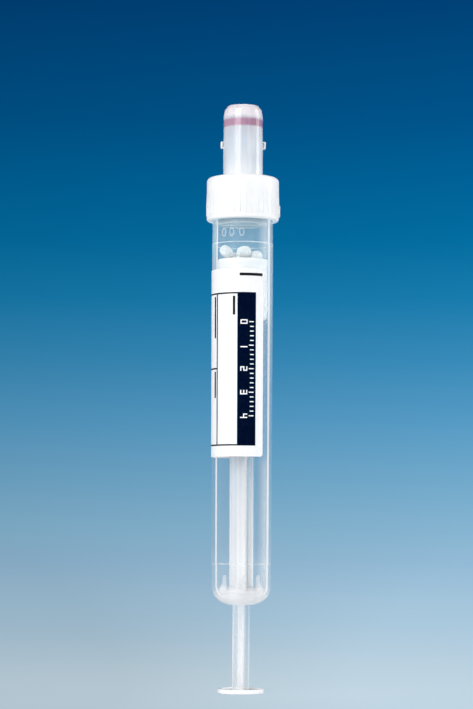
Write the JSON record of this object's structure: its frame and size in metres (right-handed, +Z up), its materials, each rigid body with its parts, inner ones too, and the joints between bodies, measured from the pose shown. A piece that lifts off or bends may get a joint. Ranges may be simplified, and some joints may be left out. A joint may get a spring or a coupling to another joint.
{
  "type": "blood collection tube",
  "caption": "Plunger-type blood collection tube: clear barrel with screw cap and needle neck, snap-off plunger rod, piston, clotting beads and a wrap-around label.",
  "frame": {"origin": "centre of the thumb disc's lower face, on which the tube stands", "axes": "+Z up along the tube's axis from the thumb disc to the needle neck; the front, with the label's printed band, faces -Y; +X to the right"},
  "size_m": [0.0159, 0.0156, 0.126],
  "materials": {
    "clear_plastic": "clear, faintly hazy moulded plastic",
    "white_plastic": "translucent white, satin",
    "pink_rubber": "matt",
    "rod_plastic": "translucent, satin",
    "piston_plastic": "satin",
    "bead_plastic": "clear, gel-like",
    "label_paper": "coated paper",
    "dark_ink": "printed",
    "navy_ink": "printed",
    "white_ink": "printed"
  },
  "bodies": {
    "plunger": {"plunger_rod": "rod_plastic", "piston": "piston_plastic", "clot_beads": "bead_plastic"},
    "barrel": {"tube": "clear_plastic", "label": "label_paper", "label_rules": "dark_ink", "label_band": "navy_ink", "band_marks": "white_ink"},
    "septum_carrier": {"septum": "pink_rubber"},
    "cap": {"screw_cap": "white_plastic"}
  },
  "joints": [
    {"name": "plunger_draw", "type": "slide", "parent": "plunger", "child": "barrel", "axis": [0, 0, 1], "range_m": [-0.0038, 0.0564]},
    {"name": "cap_lift", "type": "slide", "parent": "barrel", "child": "septum_carrier", "axis": [0, 0, 1], "range_m": [0, 0.01201]},
    {"name": "cap_turn", "type": "hinge", "parent": "septum_carrier", "child": "cap", "pos_m": [0, 0, 0.11], "axis": [0, 0, 1], "range_deg": [0, 720]}
  ],
  "couplings": [
    {"joint": "cap_lift", "follows": "cap_turn", "m_per_rad": 0.00095493}
  ]
}
